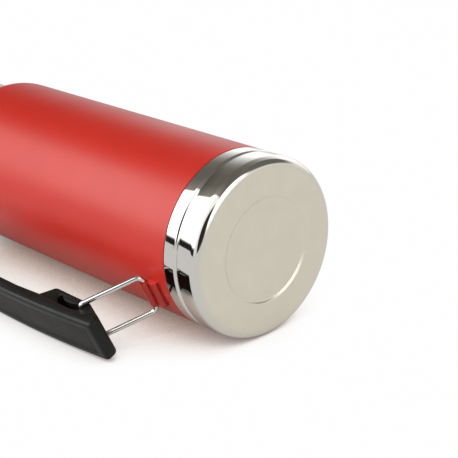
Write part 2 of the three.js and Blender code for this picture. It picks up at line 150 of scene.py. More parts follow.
def arc_between(start, corner, end, turn, steps):
    """Points on the circular arc that leaves start and reaches end along the two sides of a corner."""
    middle = [(start[k] + end[k]) / 2 for k in (0, 1)]
    inward, depth = unit(corner, middle)
    half_chord = math.hypot(end[0] - start[0], end[1] - start[1]) / 2
    radius = half_chord / math.sin(turn / 2)
    centre = [corner[k] + inward[k] * radius / math.cos(turn / 2) for k in (0, 1)]
    first = math.atan2(start[1] - centre[1], start[0] - centre[0])
    last = math.atan2(end[1] - centre[1], end[0] - centre[0])
    sweep = (last - first + math.pi) % (2 * math.pi) - math.pi
    return [
        (
            centre[0] + radius * math.cos(first + sweep * i / steps),
            centre[1] + radius * math.sin(first + sweep * i / steps),
        )
        for i in range(steps + 1)
    ]


def quarter(centre_r, centre_z, a, b, steps=20):
    """Points on a quarter ellipse, from (centre_r + a, centre_z) up to (centre_r, centre_z + b)."""
    angles = [math.pi / 2 * i / steps for i in range(steps + 1)]
    return [(centre_r + a * math.cos(t), centre_z + b * math.sin(t), 0) for t in angles]


def meridian(node):
    """(radius, height) outline of a turned CAD node, read off its mesh in the +Y half-plane."""
    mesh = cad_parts[node].data
    near = 1e-5

    def key(vertex):
        return round(vertex.co.y / MM, 3), round(vertex.co.z / MM, 3)

    links = {}
    for edge in mesh.edges:
        ends = [mesh.vertices[i] for i in edge.vertices]
        if any(abs(v.co.x) > near or v.co.y < -near for v in ends):
            continue
        a, b = map(key, ends)
        if a != b and (a[0] > 0 or b[0] > 0):
            links.setdefault(a, set()).add(b)
            links.setdefault(b, set()).add(a)
    tips = [p for p in links if len(links[p]) == 1]
    outline = [min(tips) if tips else min(links)]
    seen = set(outline)
    while True:
        following = [p for p in links[outline[-1]] if p not in seen]
        if not following:
            return outline, not tips
        outline.append(following[0])
        seen.add(following[0])


# ---------------------------------------------------------------- meshes


def mesh_from(name, bm, smooth_angle=40):
    """Turns a bmesh into a mesh that is smooth except where faces meet sharply."""
    bmesh.ops.recalc_face_normals(bm, faces=bm.faces)
    mesh = bpy.data.meshes.new(name)
    bm.to_mesh(mesh)
    bm.free()
    mesh.shade_smooth()
    mesh.set_sharp_from_angle(angle=math.radians(smooth_angle))
    return mesh


def lathe(name, profile, closed=True, segments=SEGMENTS, radius_at=None):
    """A closed body of revolution about Z. radius_at(radius, height, angle) may change the radius."""
    bm = bmesh.new()
    rings = []
    for r, z in (p[:2] for p in profile):
        if r < 1e-6:
            rings.append([bm.verts.new((0, 0, z))])
            continue
        ring = []
        for i in range(segments):
            angle = 2 * math.pi * i / segments
            radius = radius_at(r, z, angle) if radius_at else r
            ring.append(bm.verts.new((radius * math.cos(angle), radius * math.sin(angle), z)))
        rings.append(ring)
    pairs = list(zip(rings, rings[1:]))
    if closed:
        pairs.append((rings[-1], rings[0]))
    for low, high in pairs:
        for i in range(segments):
            j = (i + 1) % segments
            corners = [
                low[i % len(low)], low[j % len(low)], high[j % len(high)], high[i % len(high)]]
            unique = list(dict.fromkeys(corners))
            if len(unique) > 2:
                bm.faces.new(unique)
    return mesh_from(name, bm)


def prism(name, outline, half_width):
    """A flat outline in (x, z), drawn out along Y to both sides of the middle plane."""
    bm = bmesh.new()
    sides = [
        [bm.verts.new((p[0], y, p[1])) for p in outline] for y in (-half_width, half_width)
    ]
    bm.faces.new(sides[0])
    bm.faces.new(reversed(sides[1]))
    for i in range(len(outline)):
        j = (i + 1) % len(outline)
        bm.faces.new((sides[0][i], sides[0][j], sides[1][j], sides[1][i]))
    return mesh_from(name, bm)


def tube(name, points, radius, sides=20):
    """Round wire through the points, closed at both ends."""
    bm = bmesh.new()
    rings = []
    normal = None
    for i, point in enumerate(points):
        tangent = (points[min(i + 1, len(points) - 1)] - points[max(i - 1, 0)]).normalized()
        if normal is None:
            normal = tangent.orthogonal().normalized()
        normal = (normal - tangent * normal.dot(tangent)).normalized()
        side = tangent.cross(normal)
        rings.append([
            bm.verts.new(point + radius * (normal * math.cos(a) + side * math.sin(a)))
            for a in (2 * math.pi * k / sides for k in range(sides))
        ])
    for low, high in zip(rings, rings[1:]):
        for i in range(sides):
            j = (i + 1) % sides
            bm.faces.new((low[i], low[j], high[j], high[i]))
    bm.faces.new(rings[0])
    bm.faces.new(reversed(rings[-1]))
    return mesh_from(name, bm)


def thread(name, root, crest, low, high, pitch, starts=1):
    """Screw ridges on a round wall, from radius root to radius crest, fading out at both ends."""
    bm = bmesh.new()
    step = math.radians(4)
    count = round((high - low) / pitch * 2 * math.pi / step)
    fade = 10
    for start in range(starts):
        rings = []
        for i in range(count + 1):
            angle = i * step + start * 2 * math.pi / starts
            z = low + (high - low) * i / count
            height = min(1, (i + 0.4) / fade, (count - i + 0.4) / fade)
            top = root + (crest - root) * height
            buried = root - 0.2 * math.copysign(1, crest - root)
            section = [(buried, -1.0), (top, -0.4), (top, 0.4), (buried, 1.0)]
            rings.append([
                bm.verts.new((r * math.cos(angle), r * math.sin(angle), z + dz)) for r, dz in section
            ])
        for a, b in zip(rings, rings[1:]):
            for k in range(4):
                bm.faces.new((a[k], a[(k + 1) % 4], b[(k + 1) % 4], b[k]))
        bm.faces.new(rings[0])
        bm.faces.new(reversed(rings[-1]))
    return mesh_from(name, bm, 30)


def mirrored(mesh):
    """The mirror image of a lower handle fitting, for the handle's upper end."""
    bm = bmesh.new()
    bm.from_mesh(mesh)
    image_of = Matrix.Translation((0, 0, 2 * HANDLE_MIDDLE)) @ Matrix.Diagonal((1, 1, -1, 1))
    bmesh.ops.transform(bm, matrix=image_of, verts=bm.verts)
    bmesh.ops.reverse_faces(bm, faces=bm.faces)
    image = mesh.copy()
    bm.to_mesh(image)
    bm.free()
    return image


def loose(mesh):
    """An object for a mesh, so that modifiers can work on it."""
    obj = bpy.data.objects.new(mesh.name, mesh)
    bpy.context.scene.collection.objects.link(obj)
    return obj


def bake(obj):
    """Replaces an object's mesh with what its modifiers make of it."""
    graph = bpy.context.evaluated_depsgraph_get()
    mesh = bpy.data.meshes.new_from_object(obj.evaluated_get(graph))
    obj.modifiers.clear()
    obj.data = mesh
    return obj


def combine(obj, mesh, operation):
    """Adds a mesh to an object or takes it away."""
    other = loose(mesh)
    modifier = obj.modifiers.new("combine", "BOOLEAN")
    modifier.operation = operation
    modifier.solver = "MANIFOLD"
    modifier.object = other
    bake(obj)
    bpy.data.objects.remove(other)
    return obj


def soften(obj, width, segments=3, angle=35):
    """Rounds an object's sharp edges."""
    modifier = obj.modifiers.new("soften", "BEVEL")
    modifier.width = width
    modifier.segments = segments
    modifier.limit_method = "ANGLE"
    modifier.angle_limit = math.radians(angle)
    return bake(obj)


def taken(obj):
    """The finished mesh of a loose object, which is removed."""
    mesh = obj.data
    bpy.data.objects.remove(obj)
    mesh.shade_smooth()
    mesh.set_sharp_from_angle(angle=math.radians(40))
    return mesh


# ---------------------------------------------------------------- materials


class Nodes:
    """A material's node tree around one Principled shader."""

    def __init__(self, name):
        self.material = bpy.data.materials.new(name)
        self.material.use_nodes = True
        self.tree = self.material.node_tree
        self.shader = self.tree.nodes["Principled BSDF"]
        self.place = self.add("ShaderNodeTexCoord").outputs["Object"]

    def add(self, kind, inputs=None, **settings):
        node = self.tree.nodes.new(kind)
        for key, value in settings.items():
            setattr(node, key, value)
        for key, value in (inputs or {}).items():
            if isinstance(value, bpy.types.NodeSocket):
                self.tree.links.new(value, node.inputs[key])
            else:
                node.inputs[key].default_value = value
        return node

    def link(self, output, name):
        self.tree.links.new(output, self.shader.inputs[name])

    def math(self, operation, a, b=0.0):
        return self.add("ShaderNodeMath", {0: a, 1: b}, operation=operation).outputs[0]

    def noise(self, size, detail=3, vector=None):
        """Noise from 0 to 1 whose lumps are about size millimetres across."""
        inputs = {"Vector": vector or self.place, "Scale": 1 / (size * MM), "Detail": detail}
        return self.add("ShaderNodeTexNoise", inputs).outputs["Fac"]

    def ranged(self, value, low, high, start=0.3, end=0.7):
        inputs = {"Value": value, "From Min": start, "From Max": end, "To Min": low, "To Max": high}
        return self.add("ShaderNodeMapRange", inputs).outputs["Result"]

    def between(self, factor, first, second):
        inputs = {0: factor, 6: (*first, 1), 7: (*second, 1)}
        return self.add("ShaderNodeMix", inputs, data_type="RGBA").outputs[2]

    def axes(self):
        """Sockets for the place's X, Y and Z."""
        return self.add("ShaderNodeSeparateXYZ", {0: self.place}).outputs

    def radius(self):
        """Distance from the flask's axis."""
        squares = [self.math("MULTIPLY", axis, axis) for axis in self.axes()[:2]]
        return self.math("SQRT", self.math("ADD", *squares))

    def turned_place(self, around):
        """Coordinates whose noise runs in rings about the flask's axis, as turning marks do."""
        x, y, z = self.axes()
        angle = self.math("ARCTAN2", y, x)
        inputs = {0: self.radius(), 1: z, 2: self.math("MULTIPLY", angle, around * MM)}
        return self.add("ShaderNodeCombineXYZ", inputs).outputs[0]

    def bump(self, height, depth):
        """Relief, depth millimetres high from the lowest height to the highest."""
        inputs = {"Height": height, "Distance": depth * MM, "Strength": 1.0}
        self.link(self.add("ShaderNodeBump", inputs).outputs[0], "Normal")


def surface(name, first, second, roughness, metallic=0.0, size=6, grain=0.5, relief=0.01, **fixed):
    """A material that drifts between two colours, with uneven gloss and a fine grain."""
    nodes = Nodes(name)
    nodes.shader.inputs["Metallic"].default_value = metallic
    for key, value in fixed.items():
        nodes.shader.inputs[key.replace("_", " ")].default_value = value
    nodes.link(nodes.between(nodes.ranged(nodes.noise(size), 0, 1), first, second), "Base Color")
    nodes.link(nodes.ranged(nodes.noise(size * 2.3), *roughness), "Roughness")
    nodes.bump(nodes.noise(grain, detail=2), relief)
    return nodes.material


def turned_steel(name, first, second, roughness, mark, relief, around):
    """Steel with fine marks that run round the flask's axis."""
    nodes = Nodes(name)
    nodes.shader.inputs["Metallic"].default_value = 1.0
    marks = nodes.noise(mark, detail=4, vector=nodes.turned_place(around))
    cloud = nodes.noise(14)
    nodes.link(nodes.between(nodes.ranged(cloud, 0, 1), first, second), "Base Color")
    mixed = nodes.math("MULTIPLY", nodes.math("ADD", marks, cloud), 0.5)
    nodes.link(nodes.ranged(mixed, *roughness), "Roughness")
    nodes.bump(marks, relief)
    return nodes.material


def underside_steel(name):
    """The base cup's satin underside, which turns to polished steel across the heel."""
    nodes = Nodes(name)
    nodes.shader.inputs["Metallic"].default_value = 1.0
    outward = nodes.ranged(nodes.radius(), 0, 1, (FOOT_RADIUS - 1) * MM, POLISH_RADIUS * MM)
    marks = nodes.noise(0.18, detail=4, vector=nodes.turned_place(6))
    cloud = nodes.ranged(nodes.noise(14), 0, 1)
    satin_colour = nodes.between(cloud, (0.72, 0.67, 0.560), (0.75, 0.70, 0.590))
    colours = {0: outward, 6: satin_colour, 7: (0.71, 0.675, 0.61, 1)}
    nodes.link(nodes.add("ShaderNodeMix", colours, data_type="RGBA").outputs[2], "Base Color")
    satin_gloss = nodes.ranged(marks, 0.30, 0.38)
    glosses = {0: outward, 2: satin_gloss, 3: 0.05}
    nodes.link(nodes.add("ShaderNodeMix", glosses, data_type="FLOAT").outputs[0], "Roughness")
    nodes.bump(marks, 0.004)
    return nodes.material


def make_materials():
    """One material for each slot that the pieces name."""
    return {
        "red_coat": surface(
            "red_coat", (0.400, 0.0128, 0.0055), (0.435, 0.0148, 0.0065), (0.36, 0.42),
            size=30, grain=0.35, relief=0.004, Specular_IOR_Level=0.42),
        "mirror_steel": turned_steel(
            "mirror_steel", (0.69, 0.667, 0.625), (0.71, 0.687, 0.645), (0.03, 0.07), 0.9, 0.0006, 40),
        "satin_steel": turned_steel(
            "satin_steel", (0.60, 0.585, 0.550), (0.63, 0.615, 0.580), (0.30, 0.38), 0.18, 0.004, 6),
        "bright_wire": surface(
            "bright_wire", (0.66, 0.65, 0.63), (0.70, 0.69, 0.67), (0.06, 0.12), 1.0,
            size=5, grain=0.8, relief=0.003),
        "black_plastic": surface(
            "black_plastic", (0.004, 0.0042, 0.0036), (0.0065, 0.0068, 0.006), (0.38, 0.48),
            size=9, grain=0.4, relief=0.012, Specular_IOR_Level=0.24),
        "panel_plastic": surface(
            "panel_plastic", (0.011, 0.0095, 0.0075), (0.014, 0.0125, 0.010), (0.52, 0.62),
            size=7, grain=0.3, relief=0.02, Specular_IOR_Level=0.25),
        "grey_plastic": surface(
            "grey_plastic", (0.060, 0.060, 0.058), (0.075, 0.075, 0.072), (0.42, 0.52),
            size=8, grain=0.4, relief=0.01),
        "silicone": surface(
            "silicone", (0.62, 0.60, 0.55), (0.68, 0.66, 0.61), (0.55, 0.7),
            size=5, grain=0.5, relief=0.006, Subsurface_Weight=0.2),
        "copper_foil": surface(
            "copper_foil", (0.72, 0.34, 0.20), (0.80, 0.42, 0.26), (0.18, 0.36), 1.0,
            size=12, grain=5, relief=0.12),
        "solder": surface(
            "solder", (0.42, 0.42, 0.40), (0.52, 0.51, 0.49), (0.35, 0.55), 1.0,
            size=2, grain=0.8, relief=0.05),
    }


MATERIALS = make_materials()


def piece(name, mesh, body, slot, *nodes):
    """Puts a finished mesh on a body, with a slot's material, in place of the CAD nodes named.

    A piece that bends between two bodies is given None here, and is left on no body.
    """
    mesh.transform(Matrix.Scale(MM, 4))
    obj = bpy.data.objects.new(name, mesh)
    bpy.context.scene.collection.objects.link(obj)
    mesh.materials.clear()
    mesh.materials.append(MATERIALS[slot])
    if body:
        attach(obj, body)
    if nodes:
        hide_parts(*nodes)
    return obj


# ---------------------------------------------------------------- shells and base


def shell_profile():
    """The outer shell: a foot inside the base cup, a step out to the wall, the shoulder, neck and lip."""
    centre, width, height = SHOULDER
    foot, foot_low = 51.4, 4
    step = BASE_TOP + 0.4
    neck_low = BODY_TOP + height
    lip = 30.3
    inner_foot = foot - SHEET
    return [
        (foot, foot_low), (foot, step - 1.8), (foot + 1.8, step), (BODY_RADIUS, step, 0.6),
        *quarter(centre, BODY_TOP, width, height),
        (NECK_RADIUS, neck_low, 1.2), (NECK_RADIUS, NECK_TOP, 0.7), (lip, NECK_TOP, 0.35),
        (lip, NECK_TOP - SHEET, 0.2), (NECK_RADIUS - SHEET, NECK_TOP - SHEET, 0.3),
        (NECK_RADIUS - SHEET, neck_low - SHEET, 0.3),
        *reversed(quarter(centre, BODY_TOP, width - SHEET, height - SHEET)),
        (BODY_RADIUS - SHEET, step + SHEET, 0.2), (inner_foot + 2, step + SHEET),
        (inner_foot, step - 1.2), (inner_foot, foot_low),
    ]


def groove(offset):
    """A dip round the base cup's wall, from top to bottom, at an offset from its outer surface."""
    steps = 28
    points = []
    for i in range(steps + 1):
        across = 1 - 2 * i / steps
        depth = GROOVE_DEPTH * math.cos(across * math.pi / 2) ** 2
        points.append((BODY_RADIUS - offset - depth, GROOVE_Z + across * GROOVE_HALF_HEIGHT, 0))
    return points


def heel(inset):
    """The rounding between the base cup's wall and its underside, from the wall down."""
    radius = HEEL_RADIUS - inset
    return [(r, -z, 0) for r, z, _ in quarter(FOOT_RADIUS, -HEEL_RADIUS, radius, radius, 24)]


def base_profile():
    """The base cup: a wall with a groove, the heel, and an underside with a pressed disc."""
    wall = 1
    step = RECESS_RADIUS + RECESS_STEP
    return [
        (BODY_RADIUS - wall, BASE_TOP, 0.2), (BODY_RADIUS, BASE_TOP, 0.35),
        *groove(0), *heel(0),
        (step, 0, 1.6), (RECESS_RADIUS, RECESS_DEPTH, 1.6), (0, RECESS_DEPTH),
        (0, RECESS_DEPTH + wall), (RECESS_RADIUS, RECESS_DEPTH + wall, 1), (step, wall, 1),
        *reversed(heel(wall)), *reversed(groove(wall)),
    ]


def add_base():
    """The base cup: polished wall, satin underside."""
    profile = base_profile()
    axis = profile.index((0, RECESS_DEPTH))
    outline = rounded(profile[axis + 1:] + profile[:axis + 1], 0.3, closed=False)
    mesh = lathe("base_cup", outline, closed=False)
    under = [face.index for face in mesh.polygons
             if face.normal.z < -0.5 and face.center.xy.length < POLISH_RADIUS]
    base = piece("base_cup_polished", mesh, "root", "mirror_steel", "base_cup")
    base.data.materials.append(underside_steel("underside_steel"))
    for index in under:
        base.data.polygons[index].material_index = 1


def add_outer_shell():
    """The outer shell: coated outside as far up as the shoulder, bare steel at the neck."""
    mesh = lathe("outer_shell", rounded(shell_profile(), 0.3))
    neck_low = BODY_TOP + SHOULDER[2] - 0.1
    bare = [face.index for face in mesh.polygons
            if face.center.z > neck_low and face.center.xy.length < NECK_RADIUS + 0.4]
    shell = piece("outer_shell_coated", mesh, "root", "red_coat", "outer_shell")
    shell.data.materials.append(MATERIALS["satin_steel"])
    for index in bare:
        shell.data.polygons[index].material_index = 1


def add_shells():
    """The outer shell and base, and what they hold."""
    add_outer_shell()
    add_base()
    for node, slot, fillet in [
        ("inner_flask", "satin_steel", 0.3),
        ("shell_bottom", "satin_steel", 0.3),
        ("vacuum_seal", "solder", 0.5),
        ("liner_support", "satin_steel", 0.3),
        ("radiation_foil", "copper_foil", 0),
        ("neck_collar", "black_plastic", 0.4),
    ]:
        outline, closed = meridian(node)
        mesh = lathe(node, rounded(outline, fillet, closed), closed)
        piece(f"{node}_turned", mesh, "root", slot, node)
    ridge = thread("collar_thread", 41.5, 42.6, 275.5, 285, 4.2, starts=2)
    piece("collar_thread", ridge, "root", "black_plastic")


# ---------------------------------------------------------------- cup lid


def add_cup():
    """The cup lid: a spun steel shell with a moulded liner."""
    corner = 5
    centre = CUP_RADIUS - corner
    rim = quarter(centre, CUP_TOP - corner, corner, corner, 12)
    inside = quarter(centre, CUP_TOP - corner, corner - SHEET, corner - SHEET, 12)
    bead = CUP_LOW + 5.4
    profile = [
        (0, CUP_TOP - 0.6 - SHEET), (31.5, CUP_TOP - 0.6 - SHEET, 1), (33.5, CUP_TOP - SHEET, 1),
        *reversed(inside),
        (CUP_RADIUS - SHEET, CUP_LOW, 0.3), (CUP_RADIUS, CUP_LOW, 0.35),
        (CUP_RADIUS, bead - 0.9, 0.4), (CUP_RADIUS - 0.35, bead - 0.5, 0.4),
        (CUP_RADIUS - 0.35, bead + 0.5, 0.4), (CUP_RADIUS, bead + 0.9, 0.4),
        *rim,
        (33.5, CUP_TOP, 1.6), (31.5, CUP_TOP - 0.6, 1.6), (0, CUP_TOP - 0.6),
    ]
    shell = lathe("cup_shell", rounded(profile, 0.3, closed=False), closed=False)
    piece("cup_shell_spun", shell, "cup", "satin_steel", "cup_shell")
    outline, closed = meridian("cup_liner")
    liner = lathe("cup_liner", rounded(outline, 0.6, closed), closed)
    piece("cup_liner_moulded", liner, "cup", "grey_plastic", "cup_liner")
    ridge = thread("cup_thread", 43.4, 42.85, 275.0, 283.5, 4.2, starts=2)
    piece("cup_thread", ridge, "cup", "grey_plastic")


# ---------------------------------------------------------------- stopper


def stopper_mesh():
    """The stopper's body: a plug and flange round a well for the button, with pouring and air channels."""
    profile = [
        (18, 266), (27.6, 266), (27.6, 268, 0.2), (26.2, 268, 0.2), (26.2, 272, 0.2), (28.2, 272),
        (28.2, 292, 0.5), (34, 292), (34, 295.2, 0.6), (15.8, 295.2, 0.3), (15.8, 303.6, 0.3),
        (13.7, 303.6, 0.3), (13.7, 284), (3.4, 284), (3.4, 280), (23.5, 280), (23.5, 268.4),
        (18, 268.4),
    ]
    body = loose(lathe("stopper_body", rounded(profile, 0.4)))
    for low_x, high_x, half in ((-23, -17.5, 9), (18, 22, 4)):
        outline = [(low_x, 279), (high_x, 279), (high_x, 296.2), (low_x, 296.2)]
        combine(body, prism("channel", outline, half), "DIFFERENCE")
    return taken(body)


def cap_mesh():
    """The stopper's cap, with finger grips and a spout."""
    flutes = 40
    profile = [
        (16.1, 303.2), (28.6, 303.2), (28.6, 295.5), (31, 295.5, 0.3), (31, 304.1), (29.9, 305.6, 1),
        (16.1, 305.6, 0.3),
    ]

    def fluted(r, z, angle):
        """Finger grips round the side wall."""
        if r < 30.6 or z > 304.6:
            return r
        return r - 0.5 * (0.5 + 0.5 * math.cos(flutes * angle)) ** 2

    turned = rounded(profile, 0.4)
    cap = loose(lathe("stopper_cap", turned, segments=flutes * 8, radius_at=fluted))
    spout = [(-32, 294), (-20, 294), (-20, 300.2), (-32, 300.2)]
    combine(cap, prism("spout", spout, 9), "DIFFERENCE")
    return taken(cap)


SPRING_LOW, SPRING_HIGH = 284.9, 300.5  # its wire's middle line, at rest


def spring_points():
    """The middle line of the button spring's wire."""
    turns, steps = 5, 40
    coil = 8.4
    points = []
    for i in range(turns * steps + 1):
        angle = 2 * math.pi * i / steps
        height = SPRING_LOW + (SPRING_HIGH - SPRING_LOW) * i / (turns * steps)
        points.append(Vector((coil * math.cos(angle), coil * math.sin(angle), height)))
    return points


def button_profile():
    """The push button, with a shallow dish for the thumb."""
    return [
        (0, 307.1), (5, 307.15, 8), (9.2, 307.9, 3), (10.9, 308, 0.4), (11.9, 307, 0.5),
        (11.9, 303.3, 0.2), (13.3, 303.3, 0.2), (13.3, 296.5, 0.2), (12, 296.5, 0.2),
        (12, 301.4, 0.2), (4.6, 301.4, 0.2), (4.6, 295, 0.2), (0, 295),
    ]


def add_stopper():
    piece("stopper_body_moulded", stopper_mesh(), "stopper", "grey_plastic", "stopper_body")
    piece("stopper_cap_fluted", cap_mesh(), "stopper", "black_plastic", "stopper_cap")
    ridge = thread("stopper_thread", 28.2, 28.9, 275, 286, 4.2)
    piece("stopper_thread", ridge, "stopper", "grey_plastic")
    spring = tube("button_spring", spring_points(), 0.6, sides=12)
    wound = piece("button_spring_wound", spring, None, "satin_steel", "button_spring")
    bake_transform(wound)
    button = lathe("push_button", rounded(button_profile(), 0.3, closed=False), closed=False)
    piece("push_button_dished", button, "valve", "grey_plastic", "push_button")
    for node, body, slot, fillet in [
        ("plug_gasket", "stopper", "silicone", 0.8),
        ("rim_gasket", "stopper", "silicone", 0.5),
        ("button_retainer", "stopper", "black_plastic", 0.3),
        ("valve_stem", "valve", "grey_plastic", 0.3),
        ("valve_disc", "valve", "grey_plastic", 0.3),
        ("valve_seal", "valve", "silicone", 0.6),
    ]:
        outline, closed = meridian(node)
        mesh = lathe(node, rounded(outline, fillet, closed), closed, segments=96)
        piece(f"{node}_turned", mesh, body, slot, node)


# ---------------------------------------------------------------- handle


def crown(z):
    """X of the handle's outer face at a height."""
    half = (HANDLE_HIGH - HANDLE_LOW) / 2
    return HANDLE_CROWN_X - HANDLE_ARCH * ((z - HANDLE_MIDDLE) / half) ** 2


def heights(margin):
    """Evenly spaced heights along the handle, from a margin above its low end to one below its top."""
    steps = 40
    low, high = HANDLE_LOW + margin, HANDLE_HIGH - margin
    return [low + (high - low) * i / steps for i in range(steps + 1)]


def flip(point):
    """The mirror image of an outline's point, for the handle's upper end."""
    return (point[0], 2 * HANDLE_MIDDLE - point[1], *point[2:])


def slot_outline():
    """Outline of the lower slot in (x, z), which follows the link's far bar as the handle folds."""
    steps, cap_steps = 24, 8
    half_width = WIRE_RADIUS + 0.4
    path = []
    for i in range(steps + 1):
        angle = LINK_TILT + FOLD_TURN * i / steps
        path.append(Vector((
            PIN_X + LINK_LENGTH * math.cos(angle) + FOLD_TRAVEL * i / steps,
            PIN_Z + LINK_LENGTH * math.sin(angle))))

    def offset(i, turned):
        heading = path[min(i + 1, steps)] - path[max(i - 1, 0)]
        angle = math.atan2(heading.y, heading.x) + turned
        return tuple(path[i] + half_width * Vector((math.cos(angle), math.sin(angle))))

    quarter_turn = math.pi / 2
    return [
        *(offset(i, -quarter_turn) for i in range(steps + 1)),
        *(offset(steps, math.pi * k / cap_steps - quarter_turn) for k in range(1, cap_steps)),
        *(offset(i, quarter_turn) for i in range(steps, -1, -1)),
        *(offset(0, math.pi * k / cap_steps + quarter_turn) for k in range(1, cap_steps)),
    ]


def grip_mesh():
    """The arched bar, with an ear near each end, a slot through each ear and a tray for the panel."""
    inner = [(94, HANDLE_LOW), (91, 50), (BAR_INNER_X, 57.5), (BAR_INNER_X, 98), (BAR_WAIST_X, 120)]
    outer = [(crown(z), z) for z in reversed(heights(0))]
    outline = [*inner, *map(flip, reversed(inner)), *outer]
    grip = soften(loose(prism("handle_grip", outline, HANDLE_HALF_WIDTH)), HANDLE_EDGE, 6)
    ear = rounded([
        (97.1, 45, 0), (93, 45, 0.8), (87.2, 59.6, 2.0), (86.7, 61, 1.0), (86.7, 92.4, 1.2),
        (87.5, 94.2, 1.2), (95.8, 101.2, 2), (97.1, 101.2, 0),
    ], 0.5, support=9)
    slot = slot_outline()
    for place in (tuple, flip):
        lobe = soften(loose(prism("ear", [place(p) for p in ear], EAR_HALF_WIDTH)), 0.8, 4)
        combine(grip, taken(lobe), "UNION")
    for place in (tuple, flip):
        hole = prism("slot", [place(p) for p in slot], 20)
        combine(grip, hole, "DIFFERENCE")
    rows = heights(PANEL_END_MARGIN - 0.3)
    tray = [(crown(z) - 1.6, z) for z in rows] + [(HANDLE_CROWN_X + 2, z) for z in reversed(rows)]
    combine(grip, prism("tray", tray, PANEL_HALF_WIDTH + 0.3), "DIFFERENCE")
    return taken(soften(grip, 0.25, 2, angle=50))


def panel_mesh():
    """The matt strip in the bar's outer face, which follows its arch."""
    rows = heights(PANEL_END_MARGIN)
    outline = [(crown(z) - 1.3, z) for z in rows] + [(crown(z) - 0.35, z) for z in reversed(rows)]
    return taken(soften(loose(prism("handle_panel", outline, PANEL_HALF_WIDTH)), 0.3, 3))


def link_points():
    """The wire's middle line, from one cut end inside the lug round to the other."""
    along = Vector((math.cos(LINK_TILT), 0, math.sin(LINK_TILT)))

    def at(u, y):
        return Vector((PIN_X, y, PIN_Z)) + along * u

    steps = 12
    half = [at(0, 0.15), at(0, LINK_HALF_WIDTH - 4.3)]
    for u, radius, away in ((0, 4, 1), (LINK_LENGTH, 2.5, -1)):
        bend = []
        for i in range(steps + 1):
            angle = math.pi / 2 * i / steps
            bend.append(at(
                u + away * radius * (1 - math.cos(angle)),
                LINK_HALF_WIDTH - radius + radius * math.sin(angle)))
        half.extend(bend if away > 0 else reversed(bend))
    return half + [Vector((p.x, -p.y, p.z)) for p in reversed(half)]


def lug_mesh():
    """The lower lug: a foot welded to the shell and a barrel rolled round the wire."""
    outline = [
        (53, 35.8, 0), (56.3, 35.8, 0.5), (57.3, 37.2, 1), (57.7, 39.2, 2), (57.3, 41.1, 1),
        (56.7, 42.3, 0.4),
    ]
    steps = 28
    barrel_start, barrel_sweep = -1.4, 4.2
    for i in range(steps + 1):
        angle = barrel_start + i / steps * barrel_sweep
        outline.append((
            PIN_X + LUG_BARREL_RADIUS * math.cos(angle),
            PIN_Z + LUG_BARREL_RADIUS * math.sin(angle), 0))
    outline.append((53, 45, 0))
    lug = loose(prism("lug", rounded(outline, 0.5), LUG_HALF_WIDTH))
    wall, low, high = BODY_RADIUS + 0.02, 20, 60
    body = lathe(
        "clearance", [(0, low), (wall, low), (wall, high), (0, high)], closed=False, segments=288)
    combine(lug, body, "DIFFERENCE")
    eye = tube("eye", [Vector((PIN_X, y, PIN_Z)) for y in (-20, 20)], WIRE_RADIUS + 0.3, 32)
    combine(lug, eye, "DIFFERENCE")
    return taken(soften(lug, 0.3, 3, angle=50))


def add_handle():
    piece("handle_grip_moulded", grip_mesh(), "handle", "black_plastic", "handle_grip")
    piece("handle_panel_matt", panel_mesh(), "handle", "panel_plastic", "handle_panel")
    link = tube("link", link_points(), WIRE_RADIUS)
    upper_link = mirrored(link)
    piece("lower_link_wire", link, "lower_link", "bright_wire", "lower_link")
    piece("upper_link_wire", upper_link, "upper_link", "bright_wire", "upper_link")
    lug = lug_mesh()
    upper_lug = mirrored(lug)
    piece("lower_lug_rolled", lug, "root", "red_coat", "lower_lug")
    piece("upper_lug_rolled", upper_lug, "root", "red_coat", "upper_lug")


# ---------------------------------------------------------------- stage

CAMERA_PLACE = Vector((5.767, 8.133, -8.937))  # in body radii
CAMERA_AIM = Vector((0.284, 0.519, 0.062))
PHOTO_UP = Vector((-0.4479, 0.8941, 0))
TABLE_OUT = Vector((0.389, -0.921, 0)).normalized()  # from the flask's axis towards the table
TABLE_SHADE_REACH = 0.11  # how far off a thing still shades the table
# Painted shade in reflections: steel and lacquer see the table more covered and darker than the camera
# does.
MIRROR_SHADE = 0.3  # how much more covered the table looks in steel and lacquer
MIRROR_DIMMING = 0.22  # and how much darker

# The table's painted shade, from fully covered to fully open: colours that stand in for the flask's and
# handle's shadow, warm with painted red bounce.
TABLE_SHADE = [
    (0, 0.12, 0.07, 0.05), (1, 1, 1, 1), (0.17, 0.42, 0.31, 0.27), (0.25, 0.58, 0.46, 0.41),
    (0.31, 0.79, 0.69, 0.63), (0.37, 0.87, 0.80, 0.75), (0.5, 0.96, 0.94, 0.92), (0.62, 1, 1, 1),
]


def add_camera():
    """The camera that took the photo, with the flask lying across its view."""
    place = CAMERA_PLACE * BODY_RADIUS * MM
    aim = CAMERA_AIM * BODY_RADIUS * MM
    forward = (aim - place).normalized()
    right = forward.cross(PHOTO_UP).normalized()
    data = bpy.data.cameras.new("camera")
    data.lens = 100.3
    data.sensor_width = 36
    camera = bpy.data.objects.new("camera", data)
    camera.matrix_world = Matrix.Translation(place) @ Matrix(
        (right, right.cross(forward), -forward)).transposed().to_4x4()
    bpy.context.scene.collection.objects.link(camera)
    bpy.context.scene.camera = camera


